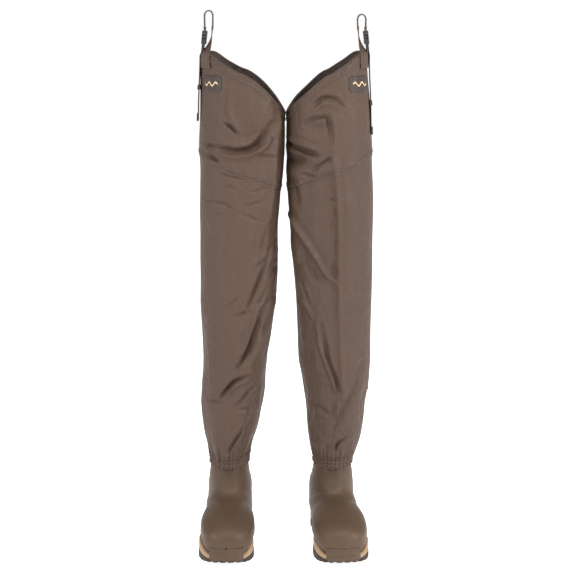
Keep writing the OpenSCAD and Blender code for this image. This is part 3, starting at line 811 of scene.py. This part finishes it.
def boot_sections():
    """Rows of near y, near z, far y, far z, half width, squareness of the far half, flare."""
    pivot, floor = (-82.0, 120.0), 33.0
    rows = [[-212.2, 44, -212.2, 34, 2, 0.5, 0], [-211.6, 50, -211.6, floor, 9, 0.45, 0.2]]
    for r in FOREFOOT:
        rows.append([r[0], r[1], r[0], floor, r[2], 0.42, 1.0])
    for r in FAN:
        c, s = math.cos(math.radians(r[0])), math.sin(math.radians(r[0]))
        rows.append([pivot[0] + r[1] * c, pivot[1] - r[1] * s, pivot[0] + r[2] * c,
                     max(pivot[1] - r[2] * s, floor), r[3], 0.5, 0.6 if r[0] > 40 else 0.25])
    for r in SHAFT:
        rows.append([r[1], r[0], r[2], r[0], r[3], 1.0, 0.0])
    rows = resample(rows, 150)
    rows[:, 4] += np.interp(rows[:, 1], [40, 60, 100, 130, 150, 165], [2.0, 2.5, 3.6, 3.4, 2.0, 0.0])
    return rows


BOOT = boot_sections()
# Creases across the ankle: height, depth (minus is a ridge) and width.
CREASES = ((173, 0.5, 1.6), (167, 0.6, 1.6), (161, 0.7, 1.7), (154, 1.0, 2.4), (146, -1.3, 3.2),
           (138, 1.2, 4.0))


def boot_surface(by, n=110, detail=True):
    a = np.linspace(0, 2 * math.pi, n, endpoint=False)
    c, s = np.cos(a)[None, :], np.sin(a)[None, :]
    r = BOOT
    near, far = r[:, 0:2], r[:, 2:4]
    long = np.linalg.norm(far - near, axis=1)
    unit = (far - near) / long[:, None]
    step = np.minimum(by, 0.35 * long)[:, None] * unit
    near, far = near + step, far - step
    wide = np.maximum(r[:, 4] - by, 0.4 * r[:, 4])[:, None]
    power = np.where(s > 0, r[:, 5][:, None], 1.0)
    across = np.sign(c) * np.abs(c) ** power
    along = np.sign(s) * np.abs(s) ** power
    flare = 1 + 0.055 * r[:, 6][:, None] * np.clip((along + 0.1) / 1.1, 0, 1) ** 1.5
    mid, reach = (near + far) / 2, (far - near) / 2
    x = across * wide * flare
    y = mid[:, :1] + along * reach[:, :1]
    z = mid[:, 1:] + along * reach[:, 1:]
    if by < 1:
        low = np.clip((62 - z) / 28, 0, 1)
        z = z + (midsole_top(y) - 33.0 + 0.3) * low * np.clip((-y - 60) / 60, 0, 1)
    # the heel spreads to the sole's edge
    w = np.clip((66 - z) / 30, 0, 1) ** 1.4 * np.clip((y - 10) / 50, 0, 1)
    y = y + 11.0 * w
    x = x * (1 + 0.05 * w)
    if detail:
        # creases across the instep, and soft lines of the moulded panels
        front = np.clip(-s, 0, 1)
        for z0, amp, w in CREASES:
            y = y - amp * np.exp(-((z - z0 + 4 * c ** 2) / w) ** 2) * front ** 2 * (1 - 0.6 * np.abs(c))
        side_line = np.exp(-((z - (62 + 0.35 * (y + 40))) / 1.6) ** 2) * (np.abs(c) > 0.5)
        side_line = side_line * (y > -120) * (y < 20) * (z < 140)
        x = x + np.sign(c) * 0.8 * side_line
        heel = np.exp(-((y - 36 + 0.25 * (z - 60)) / 1.8) ** 2) * (np.abs(c) > 0.35) * (z < 128) * (z > 34)
        x = x + np.sign(c) * 0.9 * heel
        cap = np.exp(-((y + 158 - 10 * c ** 2) / 1.6) ** 2) * (z > 50)
        z = z + 0.45 * cap * front
    return np.stack([x, y, z], -1)


def box_part(lo, hi):
    x0, y0, z0 = lo
    x1, y1, z1 = hi
    v = [(x, y, z) for z in (z0, z1) for x, y in ((x0, y0), (x1, y0), (x1, y1), (x0, y1))]
    f = [(0, 3, 2, 1), (4, 5, 6, 7), (0, 1, 5, 4), (1, 2, 6, 5), (2, 3, 7, 6), (3, 0, 4, 7)]
    return np.array(v, float), f


def boot_wall(name, outer, inner, side, mat):
    """A boot-shaped wall, closed at the toe and open at the top."""
    m, n = outer.shape[:2]
    ends = [outer[0].mean(0)[None], inner[0].mean(0)[None]]
    v = np.concatenate([outer.reshape(-1, 3), inner.reshape(-1, 3)] + ends)
    f = wall_faces(m, n)
    keep = ~((f[:, 0] < n) & (f[:, 3] < n) & (f[:, 1] >= m * n) & (f[:, 2] >= m * n))
    faces = [tuple(q) for q in f[keep].tolist()]
    g = m * n
    for i in range(n):
        j = (i + 1) % n
        faces.append((2 * g, j, i))
        faces.append((2 * g + 1, g + i, g + j))
    return merge(name, orient([(foot_place(side)(v), faces)]), mat)


def rubber_upper(side):
    outer, inner = boot_surface(0.0), boot_surface(2.9, detail=False)
    upper = boot_wall(f"{side}_rubber_upper", outer, inner, side, M_BOOT)
    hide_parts(f"{side}_boot_upper")
    return upper


def felt_liner(side):
    outer, inner = boot_surface(3.3, 80, False), boot_surface(6.9, 80, False)
    liner = boot_wall(f"{side}_felt_liner", outer, inner, side, M_LINER)
    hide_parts(f"{side}_boot_liner")
    return liner


OUTSOLE_TOP = 15.0


def tan_midsole(side):
    """The midsole, whose top edge dips at the toe. Rows are (share of height, inset)."""
    rings = []
    top = midsole_top(sole_ring(0, 0)[:, 1])
    for share, inset in ((0, 3.2), (0.04, 1.4), (0.12, 0.9), (0.5, 0.6), (0.88, 0.9), (0.97, 1.8),
                         (1.0, 3.4)):
        ring = sole_ring(inset, 0)
        ring[:, 2] = OUTSOLE_TOP + (top - OUTSOLE_TOP) * share
        rings.append(ring)
    flat = sole_ring(12, 0)
    flat[:, 2] = np.minimum(top, 32.8) - 0.5
    rings.append(flat)
    mid = merge(f"{side}_tan_midsole", orient([stack(rings, side)]), M_TAN)
    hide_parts(f"{side}_midsole")
    return mid


def edge_lugs(side):
    """Lugs round the sole's edge, long and short in turn."""
    parts = []
    q, nrm = outline(600)
    steps = np.diff(np.concatenate([q, q[:1]]), axis=0)
    run = np.concatenate([[0], np.cumsum(np.linalg.norm(steps, axis=1))])
    count = int(run[-1] / 15.5)
    for k in range(count):
        i0 = np.searchsorted(run, run[-1] * (k + 0.10) / count)
        i1 = np.searchsorted(run, run[-1] * (k + 0.78) / count) - 1
        ids = np.linspace(i0, i1, 6).astype(int) % 600
        deep, high = (13, 9.5) if k % 2 else (9, 8.0)
        o = q[ids] - nrm[ids] * 0.15
        inn = q[ids] - nrm[ids] * deep
        middle = (o + inn).mean(0) / 2
        v = []
        for z, g in ((0.0, 0.93), (0.7, 1.0), (high, 1.0)):
            for p in list(o) + list(inn[::-1]):
                w = middle + (p - middle) * g if z < 0.5 else p
                v.append((w[0], w[1], z))
        n = 12
        f = [(b * n + i, b * n + (i + 1) % n, (b + 1) * n + (i + 1) % n, (b + 1) * n + i)
             for b in range(2) for i in range(n)]
        f += [tuple(range(n))[::-1], tuple(range(2 * n, 3 * n))]
        parts.append((foot_place(side)(np.array(v)), f))
    return parts


def tread_bars(side):
    """Slanted bars across the tread, with none under the arch."""
    parts = []
    for r in range(15):
        y = -188 + 17 * r
        if -52 < y < -20:
            continue
        w = np.interp(y, [p[0] for p in SOLE_OUT], [p[1] for p in SOLE_OUT])
        for c in (-1, 1):
            x0, x1 = sorted((c * 3, c * (w - 17)))
            v, f = box_part((x0, -5, 0.0), (x1, 5, 4.6))
            v[:, 1] += y + np.abs(v[:, 0]) * 0.22
            parts.append((foot_place(side)(v), f))
    return parts


def lugged_outsole(side):
    """A rounded slab with its lugs, sprung up at the toe. Rows are (inset, height)."""
    rings = [sole_ring(i, z) for i, z in ((7, 4.0), (2.2, 4.1), (0.9, 5.0), (0.3, 7.5), (0.0, 11), (0.3, 14),
                                          (1.4, 15.4), (5, 15.5))]
    parts = [stack(rings, side)] + edge_lugs(side) + tread_bars(side)
    toe, ball = foot_place(side)(np.array([[0.0, -215.0, 0.0], [0.0, -115.0, 0.0]]))
    along = (toe - ball) / np.dot(toe - ball, toe - ball)
    for v, _ in parts:
        share = np.clip((v - ball) @ along, 0, 1)
        v[:, 2] += 0.012 * share ** 2 * np.clip(1 - v[:, 2] / 0.0155, 0, 1)
    sole = merge(f"{side}_lugged_outsole", orient(parts), M_SOLE, smooth=False)
    bevel(sole, 0.0009, 2, 40)
    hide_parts(f"{side}_outsole")
    return sole


def toe_guard(side):
    """A ribbed bumper over the front of the sole."""
    ring = sole_ring(0, 0, 600)
    front = ring[ring[:, 1] < -185]
    front = front[np.argsort(front[:, 0])]
    half = 33
    xs = np.linspace(-half, half, 61)
    zs = np.linspace(13.5, 37.5, 41)
    X, Z = np.meshgrid(xs, zs)
    Y = np.repeat(np.interp(xs, front[:, 0], front[:, 1])[None, :], len(zs), 0)
    rib = sum(0.9 * np.exp(-((Z - z0) / 1.25) ** 2) for z0 in (20.5, 25.5, 30.5, 35.0))
    lean = np.clip((Z - 26) / 12, 0, 1) ** 2 * 2.2
    fade = np.clip((1 - np.abs(X) / half) * 5, 0, 1)
    outer = np.stack([X, Y + 0.9 - (0.9 + rib) * fade + lean, Z], -1)
    inner = np.stack([X, Y + 4.5, Z], -1)
    guard = slab(f"{side}_toe_guard", outer, inner, foot_place(side), M_BOOT)
    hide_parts(f"{side}_toe_guard")
    return guard


def heel_cup(side):
    """A thin moulded cup low round the heel, thinning out at both ends."""
    count = 70
    ring = sole_ring(0.2, 0, 600)
    arc = ring[ring[:, 1] > 46]
    arc = arc[np.argsort(np.arctan2(arc[:, 0], arc[:, 1] - 20))]
    pts = arc[np.linspace(0, len(arc) - 1, count).astype(int), :2]
    share = np.linspace(0, 1, count)
    fade = np.clip(np.minimum(share, 1 - share) * 9, 0, 1)
    u = pts - np.array([0.0, 20.0])
    u /= np.linalg.norm(u, axis=1)[:, None]
    outer, inner = [], []
    for z in np.linspace(15.2, 34, 18):
        puff = 0.5 + 0.5 * np.exp(-((z - 18) / 1.6) ** 2) + 0.5 * np.exp(-((z - 31) / 1.6) ** 2)
        outer.append(np.column_stack([pts + u * (puff * fade)[:, None], np.full(count, z)]))
        inner.append(np.column_stack([pts - u * 2.0, np.full(count, z)]))
    cup = slab(f"{side}_heel_cup", np.array(outer), np.array(inner), foot_place(side), M_BOOT)
    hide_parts(f"{side}_heel_counter")
    return cup


def footbed_pad(side):
    """The footbed, dished at the heel. Rows are (share of the sole, height, rise at the heel)."""
    rings = []
    ring = sole_ring(0, 0)
    for k, z, dish in ((0.50, 42.6, 0), (0.54, 42.7, 0), (0.55, 44.0, 0.4), (0.54, 46.0, 1.0),
                       (0.50, 46.4, 0.6), (0.3, 46.3, 0), (0.1, 46.3, 0)):
        row = ring.copy()
        row[:, 0] *= k
        row[:, 1] = -67 + (row[:, 1] + 65) * 0.77 * k / 0.54
        row[:, 2] = z + dish * np.clip((row[:, 1] + 20) / 40, 0, 1)
        rings.append(row)
    bed = merge(f"{side}_footbed_pad", orient([stack(rings, side)]), M_LINER)
    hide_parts(f"{side}_footbed")
    return bed


def shaft_seal(side):
    """A cone of fabric from the outside of the boot's shaft to the inside of the leg."""
    n = 110
    ang = np.linspace(0, 2 * math.pi, n, endpoint=False)

    def ring_at(z, o):
        near, far, wide = [np.interp(z, [q[0] for q in SHAFT], [q[i] for q in SHAFT]) for i in (1, 2, 3)]
        y = (near + far) / 2 + ((far - near) / 2 + o) * np.sin(ang)
        return foot_frame(np.stack([(wide + o) * np.cos(ang), y, np.full(n, float(z))], -1), side)

    walls = []
    for outs, leg_out in (((1.5, 1.5, 1.7), -5.0), ((0.3, 0.3, 0.4), -6.2)):
        rows = [ring_at(z, o) for z, o in zip((192, 204, 214), outs)]
        leg = leg_point(side, np.full(n, 240.0), ang, leg_out)
        for k in (0.35, 0.7, 1.0):
            row = rows[2] * (1 - k) + leg * k
            row[:, 2] += -2.0 * math.sin(math.pi * k)
            rows.append(row)
        walls.append(np.array(rows))
    seal = wall(f"{side}_shaft_seal_cone", walls[0], walls[1], side, M_DARK)
    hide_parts(f"{side}_shaft_seal")
    return seal


def build_boot(side):
    upper, liner, mid, sole = rubber_upper(side), felt_liner(side), tan_midsole(side), lugged_outsole(side)
    guard, cup, bed, seal = toe_guard(side), heel_cup(side), footbed_pad(side), shaft_seal(side)
    for ob in (upper, liner, mid, sole, guard, cup, bed, seal):
        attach(ob, "waders")


# ---------------------------------------------------------------- straps
def web_strip(name, line, side, mat, width=25.0, t=1.6, y=STRAP_Y, cols=9, crown=0.12):
    """A strip of webbing along a line of (outward x, z), with slightly thick edges."""
    p = np.array(line, float)
    run = np.gradient(p, axis=0)
    nrm = np.stack([run[:, 1], -run[:, 0]], 1)
    nrm /= np.linalg.norm(nrm, axis=1)[:, None]
    u = np.linspace(-1, 1, cols)
    ys = y + u * width / 2
    th = t / 2 + crown * np.exp(-((np.abs(u) - 0.92) / 0.12) ** 2) - 0.35 * (np.abs(u) > 0.99)
    faces = [np.array([[(a[0] + g * b[0] * h, yy, a[1] + g * b[1] * h) for yy, h in zip(ys, th)]
                       for a, b in zip(p, nrm)]) for g in (1, -1)]
    return slab(name, faces[0], faces[1], lambda v: to_row(v, side), mat)


def curve(points, n):
    """A smooth curve through a few points."""
    p = np.array(points, float)
    run = np.concatenate([[0], np.cumsum(np.linalg.norm(np.diff(p, axis=0), axis=1))])
    u = np.linspace(0, run[-1], n)
    q = np.stack([np.interp(u, run, p[:, i]) for i in range(p.shape[1])], 1)
    for _ in range(6):
        q[1:-1] = (q[:-2] + 2 * q[1:-1] + q[2:]) / 4
    return q


def belt_loop(side):
    """Webbing up from the socket's bar, over the top and down to the tab."""
    x, top, half_turn = STRAP_X[side], LOOP_TOP[side], np.linspace(0, math.pi, 25)
    arc = [(x - 11.2 + 7.9 * math.cos(a), top - 10 + 9.6 * math.sin(a)) for a in half_turn]
    line = np.concatenate([curve([(x - 3.9, 1002.0), (x - 3.5, 1010), arc[0]], 14)[:-1], np.array(arc),
                           curve([arc[-1], (x - 18.8, 1016), (x - 18.4, 1006)], 14)[1:]])
    loop = web_strip(f"{side}_belt_loop_web", line, side, M_LOOP, t=2.4)
    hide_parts(f"{side}_belt_loop")
    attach(loop, f"{side}_socket")
    return loop


def loop_wrap(side):
    """The loop's end, doubled round the socket's bar."""
    x = STRAP_X[side]
    line = curve([(x - 5.4, 1011), (x - 5.3, 1004), (x - 4.0, 999.4), (x - 2.6, 1004), (x - 2.0, 1012)], 20)
    wrap = web_strip(f"{side}_loop_wrap", line, side, M_WEB, t=1.0)
    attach(wrap, f"{side}_socket")
    return wrap


TAB_ROWS, TAB_COLS = 40, 15
TAB_TOP = 1013.0
TAB_FOOT = FOLD_H + 0.5
SEWN_SHARE = 0.42


def tab_row(side, s):
    """One row of the tab: sewn on the leg below the fold, then narrowing up to the loop."""
    ang = np.linspace(math.radians(-44), math.radians(-13), TAB_COLS)
    hem = hem_z(side, ang)
    if s < SEWN_SHARE:
        u = s / SEWN_SHARE
        z = hem - 27 + (TAB_FOOT - hem + 27) * u
        on_leg = np.minimum(z, hem)
        p = leg_point(side, on_leg, ang, leg_shape(side, ang, on_leg) + 2.6 + 0.4 * u)
        p[:, 2] = z
        return p
    u = (s - SEWN_SHARE) / (1 - SEWN_SHARE)
    low = np.minimum(hem, 958.0)
    base = leg_point(side, low, ang, leg_shape(side, ang, low) + 3.0)
    base[:, 2] = TAB_FOOT
    ys = STRAP_Y - 12.5 + 25 * np.linspace(0, 1, TAB_COLS)
    tip = np.stack([np.full(TAB_COLS, STRAP_X[side] - 17.6), ys, np.full(TAB_COLS, TAB_TOP)], 1)
    e = 1 - (1 - u) ** 2.6
    p = base * (1 - e) + tip * e
    p[:, 2] = TAB_FOOT + (TAB_TOP - TAB_FOOT) * u
    return p


def hip_tab(side):
    G = np.array([tab_row(side, k / (TAB_ROWS - 1)) for k in range(TAB_ROWS)])
    for _ in range(2):
        G[1:-1] = (G[:-2] + 2 * G[1:-1] + G[2:]) / 4
    nrm = np.cross(np.gradient(G, axis=1), np.gradient(G, axis=0))
    nrm /= np.linalg.norm(nrm, axis=2)[..., None]
    if nrm[0, TAB_COLS // 2, 0] < 0:
        nrm = -nrm
    across = np.linspace(-1, 1, TAB_COLS)[None, :, None]
    edge = 0.35 * np.exp(-((np.abs(across) - 0.8) / 0.1) ** 2)
    outer, inner = G + nrm * (0.9 - edge), G - nrm * 0.9
    tab = slab(f"{side}_hip_tab_fabric", outer, inner, lambda v: to_row(v, side), M_HEM)
    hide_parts(f"{side}_hip_tab", f"{side}_hip_patch")
    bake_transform(tab)


def anchor_webbing(side):
    """Webbing from the hem up to the clip."""
    x = STRAP_X[side]
    line = curve([(x + 3.9, 940), (x + 4.1, 950), (x + 4.0, 960), (x + 1.8, 966), (x + 0.4, 970.6)], 30)
    anchor = web_strip(f"{side}_anchor_webbing", line, side, M_WEB, t=1.4)
    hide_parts(f"{side}_anchor_web")
    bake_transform(anchor)
    return anchor


def tail_x(side, z):
    return TAIL_IN[side] + (961 - z) * 0.04


def loose_tail(side):
    """The loose tail, and its end folded back on itself."""
    x, end = STRAP_X[side], TAIL_END[side]
    pts = [(tail_x(side, z) + 0.25 * np.sin(z / 17.0), z) for z in np.linspace(end, 958, 44)]
    pts += [(x + 3.0, 963), (x + 2.0, 968), (x + 0.6, 974.5)]
    tail = web_strip(f"{side}_tail_webbing", pts, side, M_WEB)
    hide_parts(f"{side}_strap_tail")
    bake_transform(tail)
    fold = [(tail_x(side, z) + 1.7, z) for z in np.linspace(end + 0.3, end + 14, 10)]
    tip = web_strip(f"{side}_tail_end", fold, side, M_WEB)
    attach(tip, "waders")
    return tail, tip


BADGE_Z = 907


def plate(side, name, angles, height, depths, mat, wave=0.0, rows=14, cols=40):
    """A thin plate lying on the thigh: with rounded corners, or as a wave."""
    lo, hi = math.radians(angles[0]), math.radians(angles[1])
    ang = np.linspace(lo, hi, cols)[None, :] + np.zeros((rows, 1))
    r = np.linspace(-1, 1, rows)[:, None]
    c = np.linspace(-1, 1, cols)[None, :]
    corner = 1 - 0.10 * np.abs(c) ** 14 if wave == 0 else 1.0
    pull = 1 - 0.07 * np.abs(r) ** 8 if wave == 0 else 1.0
    middle = math.radians((angles[0] + angles[1]) / 2)
    ang = middle + (ang - middle) * pull
    z = BADGE_Z + r * height / 2 * corner + wave * np.sin(c * 2 * math.pi) + 0 * ang
    base = leg_shape(side, ang, z)
    rim = 0.3 * (np.abs(c) < 0.97) * (np.abs(r) < 0.95)
    outer, inner = leg_point(side, z, ang, base + depths[0] + rim), leg_point(side, z, ang, base + depths[1])
    ob = slab(name, outer, inner, lambda v: to_row(v, side), mat)
    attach(ob, "waders")
    return ob


def build_strap(side):
    x = STRAP_X[side]
    bend = [tuple(to_row(np.array([x + 5.5, STRAP_Y, FOLD_H + d]), side)) for d in (-5, 5)]
    loop, wrap = belt_loop(side), loop_wrap(side)
    hip_tab(side)
    anchor = anchor_webbing(side)
    tail, tip = loose_tail(side)
    badge = plate(side, f"{side}_badge_patch", (-66, -27), 30, (1.8, 0.7), M_BADGE)
    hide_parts(f"{side}_badge")
    mark = plate(side, f"{side}_badge_wave", (-60, -33), 3.0, (2.5, 1.6), M_MARK, wave=3.2, rows=6, cols=60)
    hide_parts(f"{side}_badge_mark")


# Build each side's leg, boot and strap.
for s in ("left", "right"):
    low, thigh = build_leg(s)
    build_boot(s)
    build_strap(s)

# CAD nodes that stay, with better finishes
FINISHES = {"buckle_socket": M_PLASTIC, "buckle_clip": M_PLASTIC, "front_prong": M_PLASTIC,
            "rear_prong": M_PLASTIC, "tail_keeper": M_PLASTIC, "shank": M_STEEL,
            "insole_board": M_BOARD}
for s in ("left", "right"):
    for node, mat in FINISHES.items():
        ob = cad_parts[f"{s}_{node}"]
        for slot in ob.material_slots:
            slot.material = mat

# ---------------------------------------------------------------- scene
cam_data = bpy.data.cameras.new("camera")
cam_data.sensor_width = 36.0
cam_data.lens = 99.44
cam_data.dof.use_dof = False
cam = bpy.data.objects.new("camera", cam_data)
cam.location = (SHIFT[0] / 1000, -3.0 + SHIFT[1] / 1000, 1.1)
cam.rotation_euler = (math.radians(90 - 10.99), 0, 0)
bpy.context.scene.collection.objects.link(cam)
bpy.context.scene.camera = cam

floor_mat = Mat("floor", (0.92, 0.92, 0.92, 1), 0.9)
floor_mat.b.inputs["Emission Color"].default_value = (1, 1, 1, 1)
floor_mat.b.inputs["Emission Strength"].default_value = 0.85
floor_mat.base(floor_mat.tint(floor_mat.noise(3), (0.9, 0.9, 0.9, 1), (0.93, 0.93, 0.93, 1)))
bpy.ops.mesh.primitive_plane_add(size=14, location=(0, 0, 0))
floor = bpy.context.object
floor.name = "floor"
floor.data.materials.append(floor_mat.m)


def area_light(name, at, to, size, power, colour=(1, 1, 1)):
    d = bpy.data.lights.new(name, "AREA")
    d.shape = "RECTANGLE"
    d.size, d.size_y = size
    d.energy = power
    d.color = colour
    ob = bpy.data.objects.new(name, d)
    ob.location = at
    ob.rotation_euler = (Vector(to) - Vector(at)).to_track_quat("-Z", "Y").to_euler()
    bpy.context.scene.collection.objects.link(ob)


area_light("right_side", (2.3, -1.5, 1.7), (0.05, 0, 0.5), (0.9, 1.8), 85)
area_light("left_side", (-2.3, -1.7, 1.9), (-0.05, 0, 0.5), (0.9, 1.8), 62)
area_light("above", (0.2, -1.3, 3.0), (0, 0, 0.6), (1.4, 0.9), 60)
world = bpy.data.worlds.new("studio")
world.use_nodes = True
world.node_tree.nodes["Background"].inputs["Color"].default_value = (1, 1, 1, 1)
nodes, links = world.node_tree.nodes, world.node_tree.links
coord, split = nodes.new("ShaderNodeTexCoord"), nodes.new("ShaderNodeSeparateXYZ")
fade = nodes.new("ShaderNodeMapRange")
links.new(coord.outputs["Generated"], split.inputs[0])
links.new(split.outputs["Z"], fade.inputs["Value"])
for key, value in (("From Min", 0.2), ("From Max", 0.5), ("To Min", 1.0), ("To Max", 0.3)):
    fade.inputs[key].default_value = value
links.new(fade.outputs[0], nodes["Background"].inputs["Strength"])
bpy.context.scene.world = world
bpy.context.scene.view_settings.view_transform = "Standard"
